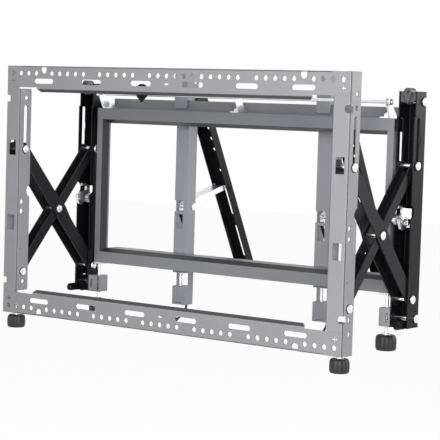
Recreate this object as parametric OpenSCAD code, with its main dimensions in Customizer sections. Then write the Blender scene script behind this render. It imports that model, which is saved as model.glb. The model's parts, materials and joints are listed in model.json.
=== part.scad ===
// Pop-out video wall mount: a perforated wall frame, two scissor sides and a
// display frame with two hook-on display brackets.
// X runs along the wall, +Y leads away from the wall, +Z is up.
// The origin is the centre of the wall slots, on the wall plane.

/* [Wall frame] */
// Overall width of the wall frame
frame_w = 700; // [660:1:760]
// Overall height of the wall frame
frame_h = 425; // [415:1:440]
// Height of the perforated top and bottom rails
rail_face_h = 39; // [36:0.5:42]
// Width of each upright channel of the wall frame
post_w = 32; // [31:0.5:34]
// Depth of the wall frame's flanges
flange_d = 28; // [26:0.5:30]
// Thickness of the frame sheet
sheet = 2; // [1.8:0.1:2.2]
// Outside radius of the sheet bends
bend_r = 3.5; // [3:0.1:4.5]
// Depth of the flanges along the rails' outer edges
rail_flange_d = 12; // [8:0.5:20]
// Width of the sloping lip along the rails' inner edges
lip_w = 7; // [5:0.5:8]
// Distance from each end of the rails to the lip
lip_inset = 70; // [64:1:90]
// Pitch of the row of round holes
hole_pitch = 17.65; // [17:0.05:18.2]
// Diameter of the round holes
hole_d = 8.4; // [7:0.1:9]
// Distance from the rails' outer edges to the row of round holes
row_inset = 12.5; // [12:0.1:13.5]
// Distance from the frame's sides to its end sights
sight_inset = 14.65; // [14:0.05:16]
// Distance from the round holes to the row of long slots
slot_drop = 13; // [12.5:0.1:14]
// Length of a long slot, end to end
slot_len = 43; // [36:0.5:46]
// Width of a long slot
slot_w = 8.5; // [7:0.1:9]

/* [Scissor] */
// Distance between the two end pivots of an arm
arm_len = 280; // [276:1:284]
// Height of the lower pivots under the centre of the frame
pivot_drop = 141; // [139:0.5:143]
// Distance of the wall-side pivots from the wall
wall_pivot_y = 15; // [14:0.25:16]
// Reach from the wall-side pivots to the display-side pivots, popped out
reach_open = 184; // [178:0.5:186]
// The same reach with the mount pushed shut
reach_shut = 28; // [27.5:0.5:32]
// Diameter of the pivot pins
pin_d = 8; // [7:0.5:9]
// Diameter of the rivet heads
head_d = 13.5; // [12:0.25:14]
// Height of the rivet heads
head_h = 3.6; // [3:0.1:4]
// Thickness of the black washers
washer_t = 0.8; // [0.6:0.1:1]
// Thickness of the arm plates
arm_t = 2; // [1.8:0.1:2.2]
// Radius of the ends of the outer arms
outer_end_r = 11.5; // [10.5:0.1:12]
// Radius of the ends of the inner arms
inner_end_r = 8.5; // [8:0.1:9]

/* [Display frame] */
// Gap between the display frame and each side channel
carrier_gap = 8.5; // [8:0.5:12]
// Height of the top of the display frame over the centre
carrier_top = 143.8; // [142:0.2:145]
// Depth of the underside of the display frame under the centre
carrier_bottom = 134; // [132:0.5:136]
// Height of the face of the display frame's rails
carrier_face = 20; // [18:0.5:22]
// Width of the face of its upright stiles
stile_face = 12; // [11:0.5:13]
// Width of the bevel round its inner edge
bevel = 6.5; // [5:0.5:7]
// Depth of that bevel
bevel_d = 11; // [8:0.5:12]
// Front face of the display frame, from the wall
carrier_y = 192.6; // [191.5:0.1:193.5]
// Depth of the display frame's rails
carrier_d = 43; // [41:0.5:44]
// Half the height of the side channels above the centre
channel_top = 187; // [184:0.5:190]
// Reach of the side channels below the centre
channel_bottom = 186.5; // [184:0.5:190]
// Distance from each end of the display frame to the hanging rail
hanger_inset = 2; // [0:0.5:12]
// Height of the hanging rail above the display frame
hanger_rise = 17.7; // [16:0.1:19]
// Height of the uprights' hooks above the hanging rail
hook_rise = 49; // [44:1:52]
// Diameter of the locking rod
rod_d = 5.6; // [5:0.1:6]
// Distance from each end of the display frame to the locking rod's heads
rod_inset = 6.5; // [5:0.5:12]
// Diameter of the front knobs, under the wall frame
front_knob_d = 32; // [28:0.5:34]
// Height of the front knobs
front_knob_h = 22; // [18:0.5:24]
// Diameter of the rear knobs, under the display frame
rear_knob_d = 35; // [30:0.5:36]
// Height of the rear knobs
rear_knob_h = 25; // [20:0.5:27]

/* [Display brackets] */
// Distance between the centres of the two display brackets
bracket_pitch = 300; // [290:1:310]
// Width of a hanging upright
upright_w = 27.5; // [26:0.5:28.5]
// Depth of a hanging upright
upright_d = 24; // [23:0.5:25]
// Width of a display bracket
leg_w = 31.6; // [31:0.2:33]
// Depth of a display bracket
leg_d = 17; // [16.5:0.25:18]
// Length of a display bracket below its hinge
leg_len = 350; // [346:1:356]
// Thickness of the bracket sheet
leg_t = 1.6; // [1.5:0.1:1.8]
// How far the display brackets are tilted out
tilt_open = 27.4; // [27:0.1:28]
// Length of a tilt strut between its pin and its nose
strut_len = 103; // [102:0.5:103.5]
// Angle of the propping strut from straight up
strut_up = 72; // [72:0.5:75]

/* [Hidden] */
$fn = 48;
// Running clearance of a pin in its bore
fit = 0.05;
// Clearance of a pin in its slot, each side
slot_fit = 0.3;
// Side clearance between sheets that slide past each other
side_fit = 0.6;
// Gap between a moving head and the sheet that it slides on
head_gap = 0.3;
// Overshoot of every cutter beyond the surface that it cuts
eps = 1;

half_w = frame_w / 2;
half_h = frame_h / 2;
inner_z = half_h - rail_face_h;
post_in = half_w - post_w;
post_mid = half_w - post_w / 2;
lip_relief = 2.6;
flange_half = post_in - 2;
row_z = half_h - row_inset;
slot_z = row_z - slot_drop;
// The holes are numbered from the middle one, which is 0
end_hole = floor((half_w - sight_inset) / hole_pitch);
slot_holes = [-15, -9, -3, 3, 9, 15];
notch_holes = [-15, 15];
arrow_hole = 3;
notch_r = 6;
notch_rise = 6.8;
d_notch_r = 5.6;
d_notch_d = 9.5;
sight_len = 10;
sight_w = 2.2;
corner_r = 3;

pin_r = pin_d / 2;
bore_r = pin_r + fit;
track_w = pin_d + 2 * slot_fit;
carrier_pivot_y = wall_pivot_y + reach_open;
arm_open = asin(reach_open / arm_len);
arm_shut = asin(reach_shut / arm_len);
lower_z = -pivot_drop;
slide_open_z = lower_z + arm_len * cos(arm_open);
slide_shut_z = lower_z + arm_len * cos(arm_shut);
centre_y = wall_pivot_y + reach_open / 2;
centre_z = lower_z + arm_len / 2 * cos(arm_open);
shut_centre_z = lower_z + arm_len / 2 * cos(arm_shut);
track_low = slide_open_z - 4;
track_high = slide_shut_z + 4;
channel_gap = post_w - 2 * sheet;
outer_arm_w = channel_gap - 2 * 0.8;
inner_arm_w = outer_arm_w - 2 * arm_t - 2 * side_fit;
arm_clear_half = 15;
lobe_r = 16;

stile_out = post_in - carrier_gap;
carrier_w = 2 * stile_out;
hanger_len = carrier_w - 2 * hanger_inset;
rod_len = carrier_w - 2 * rod_inset;
lip_len = frame_w - 2 * lip_inset;
stile_in = stile_out - stile_face;
face_low = carrier_top - carrier_face;
face_high = -carrier_bottom + carrier_face;
bevel_in = stile_in - bevel;
carrier_back = carrier_y + carrier_d;
stile_d = bevel_d + 4;
guide_y = carrier_pivot_y + head_d / 2 + 2.3;
guide_d = 12;
guide_h = 20;
channel_front = carrier_pivot_y - 12;
channel_back = carrier_pivot_y + 24;
channel_step_y = 3;
// The half-round recess in the side channels' outer flanges
recess_y = carrier_pivot_y + 9;
recess_z = channel_top - 76;
recess_r = 7;
// The two short slots at the foot of those flanges
foot_slot_y = channel_back - 16;
foot_slots = [-channel_bottom + 4, -channel_bottom + 26];
channel_step_z = slide_shut_z + 9;
hanger_back = carrier_back + sheet;
hanger_top = carrier_top + hanger_rise;
hanger_foot = carrier_top - 22;

upright_x = bracket_pitch / 2;
upright_t = 1.8;
lip_gap = 2;
hook_lip_y = carrier_back - lip_gap - sheet;
upright_y = hanger_back + 0.7;
upright_back = upright_y + upright_d;
hook_top = hanger_top + hook_rise;
hook_foot = carrier_top + 3.9;
hook_hole_d = 8;
upright_foot = -200;
block_top = -167;
window_top = -143;
hinge_y = upright_back - 4;
hinge_z = hanger_top - 1.5;
hinge_r = 3;
strut_y = upright_back - 5;
strut_z = -26;
leg_front = 11.5;
leg_back = leg_front + leg_d;
strut_w = upright_w - 2 * upright_t - 2 * side_fit;
nose_r = 2.5;
// The propping strut's nose from the hinge, and how far down the tilted bracket it bears
nose_y = strut_y + strut_len * sin(strut_up) - hinge_y;
nose_z = strut_z + strut_len * cos(strut_up) - hinge_z;
nose_s = nose_y * sin(tilt_open) - nose_z * cos(tilt_open);

hub_r = 7;
rod_y = carrier_y - 4.6;
rod_z = carrier_top + 25.7;
stud_x = stile_out - 5.5;
stud_y = carrier_pivot_y + 2;
stud_d = 6;
knob_gap_z = 4.5;
block_low = -channel_bottom - 0.5;
block_high = -158;
block_in = stile_out - 14.5;
rear_knob_top = -201.5;
front_knob_top = -half_h - 5;
front_stud_y = wall_pivot_y + 4.2;
tab_x = -57;
tab_r = 12.5;
tab_z = inner_z + 0.5;
foot_block_z = -inner_z + 10.5;
foot_block_h = 6;
lever_x = 4;
lever_z = upright_foot + 6;
lever_d = 4;

// A sheet in the XZ plane, from y to y + t; its outline is drawn in X and Z
module face_sheet(y, t) {
    translate([0, y + t, 0]) rotate([90, 0, 0]) linear_extrude(t) children();
}

// A sheet in the YZ plane, from x to x + t; its outline is drawn in Y and Z
module side_sheet(x, t) {
    translate([x, 0, 0]) rotate([90, 0, 90]) linear_extrude(t) children();
}

// Shows its children on the right side, or mirrored on the left
module on_side(side) {
    if (side > 0) children();
    else mirror([1, 0, 0]) children();
}

// A round bar along X, from x to x + len
module bar_x(x, len, y, z, r) {
    translate([x, y, z]) rotate([0, 90, 0]) cylinder(h = len, r = r);
}

// A round bar along Y
module bar_y(y, len, x, z, r) {
    translate([x, y + len, z]) rotate([90, 0, 0]) cylinder(h = len, r = r);
}

// A block given by its lowest and highest corners
module block(low, high) {
    translate(low) cube(high - low);
}

// A flat slot with round ends, centred, running along its first axis
module slot_2d(len, w) {
    square([len - w, w], center = true);
    for (end = [-1, 1]) translate([end * (len - w) / 2, 0]) circle(d = w);
}

// A quarter of a bent sheet, its centre at the origin, in the quadrant given
module bend_2d(qx, qy, t = sheet) {
    intersection() {
        difference() {
            circle(r = bend_r);
            circle(r = bend_r - t);
        }
        translate([qx > 0 ? 0 : -bend_r, qy > 0 ? 0 : -bend_r]) square(bend_r);
    }
}

// The outline of a rectangle with its corners rounded
module soft_rect_2d(low, high, r) {
    translate([low[0] + r, low[1]]) square([high[0] - low[0] - 2 * r, high[1] - low[1]]);
    translate([low[0], low[1] + r]) square([high[0] - low[0], high[1] - low[1] - 2 * r]);
    for (x = [low[0] + r, high[0] - r], y = [low[1] + r, high[1] - r])
        translate([x, y]) circle(r = r);
}

function holds(list, value) = len([for (item = list) if (item == value) 1]) > 0;
function hole_x(i) = i * hole_pitch;

// Wall frame

// The openings of one rail, drawn for the top rail; only that one has the arrow
module rail_holes_2d(with_arrow) {
    for (i = [-end_hole:end_hole])
        if (!holds(slot_holes, i)) translate([hole_x(i), row_z]) circle(d = hole_d);
    for (x = [-half_w + sight_inset, half_w - sight_inset])
        translate([x, row_z]) circle(d = hole_d);
    for (i = slot_holes) translate([hole_x(i), slot_z]) slot_2d(slot_len, slot_w);
    for (i = notch_holes) translate([hole_x(i), half_h - notch_rise]) {
        circle(r = notch_r);
        translate([-notch_r, 0]) square([2 * notch_r, notch_rise + eps]);
    }
    for (x = [-half_w + sight_inset, 0, half_w - sight_inset]) translate([x, slot_z]) {
        slot_2d(sight_len, sight_w);
        rotate(90) slot_2d(sight_len, sight_w);
    }
    if (with_arrow) translate([hole_x(arrow_hole), row_z]) {
        polygon([[-6.5, -1], [0, 6], [6.5, -1]]);
        translate([-2.2, -6]) square([4.4, 6]);
    }
}

module wall_rail(up) {
    face_in = inner_z + lip_relief;
    mirror([0, 0, up > 0 ? 0 : 1]) {
        face_sheet(0, sheet) difference() {
            translate([-half_w + bend_r, face_in])
                square([frame_w - 2 * bend_r, half_h - face_in]);
            translate([-flange_half, half_h - bend_r]) square([2 * flange_half, bend_r + eps]);
            rail_holes_2d(up > 0);
        }
        rail_flange();
        rail_lip();
    }
}

// The flange along a rail's outer edge; the notches run through its bend
module rail_flange() {
    difference() {
        translate([-flange_half, 0, 0]) rotate([90, 0, 90]) linear_extrude(2 * flange_half) {
            translate([bend_r, half_h - bend_r]) bend_2d(-1, 1);
            translate([bend_r, half_h - sheet]) square([rail_flange_d - bend_r, sheet]);
        }
        for (i = notch_holes)
            block([hole_x(i) - notch_r, -eps, half_h - bend_r - eps],
                  [hole_x(i) + notch_r, bend_r, half_h + eps]);
    }
}

// The lip along a rail's inner edge, bent halfway back, its ends cut on the slant
module rail_lip() {
    root = inner_z + lip_relief;
    run = lip_w * cos(45);
    skin = sheet * cos(45);
    intersection() {
        translate([-lip_len / 2, 0, 0]) rotate([90, 0, 90]) linear_extrude(lip_len)
            polygon([[0, root + eps], [0, inner_z + 1], [0.5, inner_z], [0.5 + run, inner_z - run],
                     [0.5 + run + skin, inner_z - run + skin],
                     [sheet, inner_z + 2 * skin + 0.5 - sheet], [sheet, root + eps]]);
        face_sheet(-eps, lip_w + 2 * eps)
            polygon([[-lip_len / 2, root + eps], [-lip_len / 2, inner_z],
                     [-lip_len / 2 + run, inner_z - run], [lip_len / 2 - run, inner_z - run],
                     [lip_len / 2, inner_z], [lip_len / 2, root + eps]]);
    }
}

module wall_top_rail() { color("dimgray") wall_rail(1); }
module wall_bottom_rail() { color("dimgray") wall_rail(-1); }

// The openings in the sides of a wall post; the first axis is Y
module post_side_cuts_2d() {
    translate([wall_pivot_y, (track_low + track_high) / 2])
        rotate(90) slot_2d(track_high - track_low + track_w, track_w);
    translate([wall_pivot_y, lower_z]) circle(r = bore_r);
    for (z = [-inner_z + 15.3, inner_z - 15.5]) translate([16.6, z]) circle(d = 8);
    for (z = [-20.5, -36.5]) translate([9.5, z]) circle(d = 8.5);
    translate([7.4, -102]) circle(d = 3);
    translate([flange_d + 4, shut_centre_z]) circle(r = 11.5);
}

module wall_post() {
    bend_y = bend_r;
    difference() {
        union() {
            block([post_in + bend_r, 0, -inner_z - lip_relief],
                  [half_w - bend_r, sheet, inner_z + lip_relief]);
            translate([0, 0, -half_h]) linear_extrude(frame_h)
                translate([half_w - bend_r, bend_y]) bend_2d(1, -1);
            translate([0, 0, -inner_z]) linear_extrude(2 * inner_z)
                translate([post_in + bend_r, bend_y]) bend_2d(-1, -1);
            side_sheet(half_w - sheet, sheet)
                soft_rect_edge_2d(bend_y, flange_d, half_h, corner_r / 2);
            side_sheet(post_in, sheet)
                soft_rect_edge_2d(bend_y, flange_d, inner_z, corner_r);
        }
        side_sheet(post_in - eps, post_w + 2 * eps) post_side_cuts_2d();
        for (z = [-half_h + 33.3, half_h - 33.3])
            bar_x(half_w - sheet - eps, sheet + 2 * eps, 18, z, 4);
        for (z = [59.9, -68.5])
            block([post_in + 8.2, -eps, z], [post_in + 24.5, sheet + eps, z + 25.4]);
        for (z = [-inner_z + 16.9, inner_z - 16.9]) {
            bar_y(-eps, d_notch_d + eps, half_w - d_notch_r, z, d_notch_r);
            block([half_w - d_notch_r, -eps, z - d_notch_r],
                  [half_w + eps, d_notch_d, z + d_notch_r]);
        }
    }
}

// A flange outline from y_low to y_high with its two free corners rounded by r
module soft_rect_edge_2d(y_low, y_high, half, r) {
    translate([y_low, -half]) square([y_high - y_low - r, 2 * half]);
    translate([y_low, -half + r]) square([y_high - y_low, 2 * half - 2 * r]);
    for (z = [-half + r, half - r]) translate([y_high - r, z]) circle(r = r);
}

module wall_left_post() { color("dimgray") on_side(-1) wall_post(); }
module wall_right_post() { color("dimgray") on_side(1) wall_post(); }

// The nut blocks that carry the screws of the front knobs
module foot_block() {
    difference() {
        block([post_mid - 13, sheet + 3.2, foot_block_z - foot_block_h],
              [half_w - sheet, flange_d - 4, foot_block_z]);
        translate([post_mid, front_stud_y, foot_block_z - foot_block_h - eps])
            cylinder(h = foot_block_h + 2 * eps, r = stud_d / 2 + fit);
    }
}

module foot_blocks() { color("black") for (side = [-1, 1]) on_side(side) foot_block(); }

// The drop-shaped black tab behind the top rail
module rail_tab() {
    back = sheet + 6;
    color("black") {
        translate([tab_x, 0, tab_z]) face_sheet(back, 3) drop_2d(tab_r, -tab_r - 5);
        block([tab_x - 6, sheet, tab_z + 3], [tab_x + 6, back + eps, tab_z + tab_r - 4]);
    }
}

// A fluted knob of width d and height h that hangs from z, with its screw up to screw_z
module knob(x, y, z, d, h, screw_z) {
    flutes = 10;
    translate([x, y, 0]) {
        difference() {
            translate([0, 0, z - h]) cylinder(h = h, d = d);
            for (i = [0:flutes - 1]) rotate(i * 360 / flutes)
                translate([d / 2 + 1.6, 0, z - h - eps])
                    cylinder(h = h + 2 * eps, r = d * 0.1);
            translate([0, 0, z - h - eps]) cylinder(h = 2 + eps, d = d * 0.55);
            screw_bore(z);
        }
        difference() {
            translate([0, 0, z]) cylinder(h = knob_gap_z - 1.5, d = d * 0.42);
            screw_bore(z);
        }
        translate([0, 0, z - 4]) cylinder(h = screw_z - z + 4, d = stud_d);
    }
}

// The hole that a knob's screw is pressed into
module screw_bore(z) {
    translate([0, 0, z - 4 - fit]) cylinder(h = 4 + knob_gap_z, r = stud_d / 2 + fit);
}

module front_knob() {
    knob(post_mid, front_stud_y, front_knob_top, front_knob_d, front_knob_h, foot_block_z - 1);
}

module front_left_knob() { color("black") on_side(-1) front_knob(); }
module front_right_knob() { color("black") on_side(1) front_knob(); }

// Scissor arms
// An arm is drawn upright, its lower pivot at the origin, then leaned over.

// Half of the outer arm's plate outline, from its lower to its upper pivot
module outer_plate_2d() {
    half = arm_len / 2;
    difference() {
        union() {
            for (s = [0, arm_len]) translate([0, s]) circle(r = outer_end_r);
            polygon([[-outer_end_r, 0], [-outer_end_r - 0.6, half], [-outer_end_r, arm_len],
                     [outer_end_r, arm_len], [outer_end_r + 1, half + 34],
                     [lobe_r, half + 10], [lobe_r, half - 10], [outer_end_r + 1, half - 34],
                     [outer_end_r, 0]]);
        }
        for (s = [0, half, arm_len]) translate([0, s]) circle(r = bore_r);
    }
}

module inner_plate_2d() {
    difference() {
        union() {
            for (s = [0, arm_len]) translate([0, s]) circle(r = inner_end_r);
            translate([-inner_end_r, 0]) square([2 * inner_end_r, arm_len]);
        }
        for (s = [0, arm_len / 2, arm_len]) translate([0, s]) circle(r = bore_r);
    }
}

// The web between an arm's plates, on the display side, from s to s + len
module arm_web(s, len, edge, width) {
    block([-width / 2, edge - arm_t, s], [width / 2, edge, s + len]);
}

module outer_arm_local() {
    plate_in = outer_arm_w / 2 - arm_t;
    for (x = [-outer_arm_w / 2, plate_in]) side_sheet(x, arm_t) outer_plate_2d();
    difference() {
        union() {
            arm_web(8, arm_len / 2 - 42, outer_end_r, 2 * plate_in + 1);
            arm_web(arm_len - 17, 12, outer_end_r, 2 * plate_in + 1);
        }
        for (s = [16, arm_len - 11]) bar_y(0, 2 * outer_end_r, 0, s, 2);
    }
}

module inner_arm_local() {
    plate_in = inner_arm_w / 2 - arm_t;
    web_len = arm_len / 2 - 38;
    for (x = [-inner_arm_w / 2, plate_in]) side_sheet(x, arm_t) inner_plate_2d();
    difference() {
        union() {
            arm_web(6, web_len, inner_end_r, 2 * plate_in + 1);
            arm_web(arm_len - 6 - web_len, web_len, inner_end_r, 2 * plate_in + 1);
        }
        for (s = [15, arm_len - 15]) bar_y(0, 2 * inner_end_r, 0, s, 2);
    }
}

// The outer arm leans from the display frame's pivot up to the wall post's slot
module outer_arm() {
    translate([post_mid, carrier_pivot_y, lower_z]) rotate([arm_open, 0, 0])
        outer_arm_local();
}

// The inner arm leans from the wall post's pivot up to the side channel's slot
module inner_arm() {
    translate([post_mid, wall_pivot_y, lower_z]) rotate([-arm_open, 0, 0])
        inner_arm_local();
}

module left_inner_arm() { color("black") on_side(-1) inner_arm(); }
module right_inner_arm() { color("black") on_side(1) inner_arm(); }
module left_outer_arm() { color("black") on_side(-1) outer_arm(); }
module right_outer_arm() { color("black") on_side(1) outer_arm(); }

// A pin across a side, with a domed head and a washer at both ends
module headed_pin(half_len, y, z, gap) {
    seat = half_len + gap;
    bar_x(post_mid - seat - washer_t, 2 * (seat + washer_t), y, z, pin_r);
    for (end = [-1, 1]) translate([post_mid, y, z]) rotate([0, end * 90, 0]) {
        translate([0, 0, seat]) cylinder(h = washer_t, r = head_d / 2 + 0.7);
        translate([0, 0, seat + washer_t]) cylinder(h = head_h - 1, r = head_d / 2);
        translate([0, 0, seat + washer_t + head_h - 1])
            rotate_extrude() polygon([[0, 0], [head_d / 2, 0], [head_d / 2 - 1, 1], [0, 1]]);
    }
}

// A collar on a pin that keeps an arm in the middle of its channel
module pin_collars(from, to, y, z) {
    for (end = [-1, 1]) bar_x(post_mid + (end > 0 ? from : -to), to - from, y, z, pin_r + 2);
}

module centre_pin() { headed_pin(outer_arm_w / 2, centre_y, centre_z, 0); }

module wall_pivot() {
    headed_pin(post_w / 2, wall_pivot_y, lower_z, 0);
    pin_collars(inner_arm_w / 2 + 0.2, channel_gap / 2, wall_pivot_y, lower_z);
}

module wall_slide_pin() { headed_pin(post_w / 2, wall_pivot_y, slide_open_z, head_gap); }

module carrier_pivot() { headed_pin(post_w / 2, carrier_pivot_y, lower_z, 0); }

module carrier_slide_pin() {
    headed_pin(post_w / 2, carrier_pivot_y, slide_open_z, head_gap);
    pin_collars(inner_arm_w / 2 + 0.2, channel_gap / 2 - head_gap, carrier_pivot_y, slide_open_z);
}

module left_centre_pin() { color("silver") on_side(-1) centre_pin(); }
module right_centre_pin() { color("silver") on_side(1) centre_pin(); }
module left_wall_pivot() { color("silver") on_side(-1) wall_pivot(); }
module right_wall_pivot() { color("silver") on_side(1) wall_pivot(); }
module left_wall_slide_pin() { color("silver") on_side(-1) wall_slide_pin(); }
module right_wall_slide_pin() { color("silver") on_side(1) wall_slide_pin(); }
module left_carrier_pivot() { color("silver") on_side(-1) carrier_pivot(); }
module right_carrier_pivot() { color("silver") on_side(1) carrier_pivot(); }
module left_carrier_slide_pin() { color("silver") on_side(-1) carrier_slide_pin(); }
module right_carrier_slide_pin() { color("silver") on_side(1) carrier_slide_pin(); }

// Display frame

// The section of a rail: a channel open to the back, with a bevel under its face
module rail_section_2d(face_top, face_foot, toe) {
    dir = sign(face_top - face_foot);
    difference() {
        polygon([[carrier_y, face_top], [carrier_y, face_foot], [carrier_y + bevel_d, toe],
                 [carrier_back, toe], [carrier_back, face_top]]);
        polygon([[carrier_y + sheet, face_top - dir * sheet],
                 [carrier_y + sheet, face_foot + dir * sheet * 0.4],
                 [carrier_y + bevel_d + sheet * 0.6, toe + dir * sheet],
                 [carrier_back + eps, toe + dir * sheet],
                 [carrier_back + eps, face_top - dir * sheet]]);
    }
}

module carrier_rail(outer, inner) {
    toe = inner - sign(outer - inner) * bevel;
    intersection() {
        translate([-stile_out, 0, 0]) rotate([90, 0, 90]) linear_extrude(carrier_w)
            rail_section_2d(outer, inner, toe);
        face_sheet(carrier_y - eps, carrier_d + 2 * eps)
            polygon([[-stile_out, outer], [stile_out, outer], [stile_out, inner],
                     [stile_in, inner], [bevel_in, toe], [-bevel_in, toe],
                     [-stile_in, inner], [-stile_out, inner]]);
    }
}

module carrier_top_rail() { color("gray") carrier_rail(carrier_top, face_low); }
module carrier_bottom_rail() { color("gray") carrier_rail(-carrier_bottom, face_high); }

module carrier_stile() {
    low_toe = face_high + bevel;
    high_toe = face_low - bevel;
    back = carrier_y + stile_d;
    intersection() {
        translate([0, 0, face_high]) linear_extrude(face_low - face_high) difference() {
            polygon([[stile_out, carrier_y], [stile_in, carrier_y],
                     [bevel_in, carrier_y + bevel_d], [bevel_in, back], [stile_out, back]]);
            polygon([[stile_out - sheet, carrier_y + sheet],
                     [stile_in + sheet * 0.4, carrier_y + sheet],
                     [bevel_in + sheet, carrier_y + bevel_d + sheet * 0.6],
                     [bevel_in + sheet, back + eps], [stile_out - sheet, back + eps]]);
        }
        face_sheet(carrier_y - eps, stile_d + 2 * eps)
            polygon([[stile_out, face_low], [stile_in, face_low], [bevel_in, high_toe],
                     [bevel_in, low_toe], [stile_in, face_high], [stile_out, face_high]]);
    }
}

module carrier_left_stile() { color("gray") on_side(-1) carrier_stile(); }
module carrier_right_stile() { color("gray") on_side(1) carrier_stile(); }

// The flat rail behind the top rail, over which the uprights hook
module hanging_rail() {
    color("dimgray") face_sheet(carrier_back, sheet)
        soft_rect_2d([-hanger_len / 2, hanger_foot], [hanger_len / 2, hanger_top], 2);
}

// A side channel of the display frame, open to the wall
module side_channel() {
    inner = post_in + sheet;
    outer = half_w - sheet;
    height = channel_top + channel_bottom;
    difference() {
        union() {
            block([post_in + bend_r, channel_back - sheet, -channel_bottom],
                  [half_w - bend_r, channel_back, channel_top]);
            translate([0, 0, -channel_bottom]) linear_extrude(height) {
                translate([half_w - bend_r, channel_back - bend_r]) bend_2d(1, 1);
                translate([post_in + bend_r, channel_back - bend_r]) bend_2d(-1, 1);
            }
            block([outer, channel_front, -channel_bottom],
                  [half_w, channel_back - bend_r, channel_top]);
            block([post_in, channel_front, -channel_bottom],
                  [inner, channel_back - bend_r, channel_top]);
        }
        block([post_in - eps, channel_front - eps, channel_step_z],
              [half_w + eps, channel_front + channel_step_y, channel_top + eps]);
        side_sheet(post_in - eps, post_w + 2 * eps) {
            translate([carrier_pivot_y, (track_low + track_high) / 2])
                rotate(90) slot_2d(track_high - track_low + track_w, track_w);
            translate([carrier_pivot_y, lower_z]) circle(r = bore_r);
            translate([channel_front - 3, shut_centre_z]) circle(r = 11.5);
            translate([carrier_pivot_y + 14, channel_top - 16]) circle(r = bore_r);
            translate([carrier_pivot_y + 13, -channel_bottom + 14]) circle(r = bore_r);
        }
        side_sheet(half_w - sheet / 2, sheet) translate([recess_y, recess_z]) intersection() {
            circle(r = recess_r);
            translate([-2 * recess_r, -recess_r - eps])
                square([2 * recess_r, 2 * (recess_r + eps)]);
        }
        for (z = foot_slots)
            block([outer - eps, foot_slot_y, z - 0.8], [half_w + eps, foot_slot_y + 8, z + 0.8]);
    }
}

module left_side_channel() { color("black") on_side(-1) side_channel(); }
module right_side_channel() { color("black") on_side(1) side_channel(); }

// Blocks that carry the side channels on the ends of the display frame's rails
module guide_blocks() {
    color("black") for (side = [-1, 1]) on_side(side) {
        block([stile_out, guide_y, carrier_top - guide_h],
              [post_in, guide_y + guide_d, carrier_top]);
        block([stile_out, guide_y, -carrier_bottom],
              [post_in, guide_y + guide_d, -carrier_bottom + guide_h]);
    }
}

// Cross bolts through the top and the foot of each side channel
module channel_bolt(y, z) {
    difference() {
        headed_pin(post_w / 2, y, z, 0);
        bar_x(half_w + washer_t + head_h - 1.4, 3, y, z, 2.2);
    }
}

module channel_bolts() {
    color("silver") for (side = [-1, 1]) on_side(side) {
        channel_bolt(carrier_pivot_y + 14, channel_top - 16);
        channel_bolt(carrier_pivot_y + 13, -channel_bottom + 14);
    }
}

// A disc with a pointed tail, seen along Y; its tip is above the centre, or below if negative
module drop_2d(r, tip) {
    shoulder = sign(tip) * r * 0.4;
    circle(r = r);
    polygon([[-r * 0.92, shoulder], [0, tip], [r * 0.92, shoulder]]);
}

// The hub at the top of each side channel, between its two filler blocks
module top_boss() {
    boss_y = channel_front + 3;
    hub_z = channel_top - 1.5;
    hub_x = post_mid + 1.5;
    split_x = hub_x + hub_r + 1;
    difference() {
        union() {
            block([post_in + sheet, boss_y + 2, channel_top - 17],
                  [split_x, boss_y + 12, channel_top - 1]);
            translate([hub_x, 0, hub_z]) face_sheet(boss_y - 4, 16) drop_2d(hub_r, -19);
        }
        bar_y(boss_y - 4 - eps, 8, hub_x, hub_z, 2.4);
        for (z = [hub_z - 9, hub_z - 4])
            block([post_in + sheet + 5, boss_y + 2 - eps, z],
                  [post_in + sheet + 8, boss_y + 5, z + 2.4]);
    }
    block([split_x, boss_y + 1, channel_top - 15],
          [half_w - sheet, boss_y + 12, channel_top - 3]);
}

module top_bosses() { color("black") for (side = [-1, 1]) on_side(side) top_boss(); }

// The lug at the foot of each side channel: a hub, and a tab with an eye towards the wall
module bottom_lug() {
    lug_z = -channel_bottom + 6;
    lug_x = post_mid + 7;
    eye_y = channel_front - 20;
    hub_x = post_mid - 3;
    tab_half = 6.4;
    difference() {
        union() {
            block([post_in + sheet, channel_front + 1, -channel_bottom],
                  [half_w - sheet, channel_front + 9, -channel_bottom + 12]);
            translate([hub_x, 0, lug_z]) face_sheet(channel_front - 3, 8)
                drop_2d(hub_r, hub_r + 4);
            block([lug_x, eye_y, lug_z - tab_half],
                  [lug_x + 4, channel_front + 3, lug_z + tab_half]);
            bar_x(lug_x, 4, eye_y, lug_z, tab_half);
        }
        bar_x(lug_x - eps, 4 + 2 * eps, eye_y, lug_z, 2.6);
        bar_y(channel_front - 3 - eps, 6, hub_x, lug_z, 2.4);
    }
}

module bottom_lugs() { color("black") for (side = [-1, 1]) on_side(side) bottom_lug(); }

// The bent-sheet box inboard of each side channel's foot
module corner_block() {
    front = channel_front + 1;
    back = front + 26;
    difference() {
        block([block_in, front, block_low], [post_in, back, block_high]);
        block([block_in + sheet, front + sheet, block_low + sheet],
              [post_in - sheet, back + eps, block_high - sheet]);
        translate([stud_x, stud_y, block_low - eps])
            cylinder(h = block_high - block_low + 2 * eps, r = stud_d / 2 + 0.4);
        block([block_in - eps, front - eps, block_low - eps],
              [block_in + 3.6, front + 3.6, block_high + eps]);
        block([stud_x + 5.5, front - eps, block_low + 7],
              [stud_x + 9.5, front + sheet + eps, block_high - 7]);
        bar_x(post_in - sheet - eps, sheet + 2 * eps, carrier_pivot_y + 13,
              -channel_bottom + 14, head_d / 2 + 2);
    }
}

module corner_blocks() { color("dimgray") for (side = [-1, 1]) on_side(side) corner_block(); }

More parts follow.
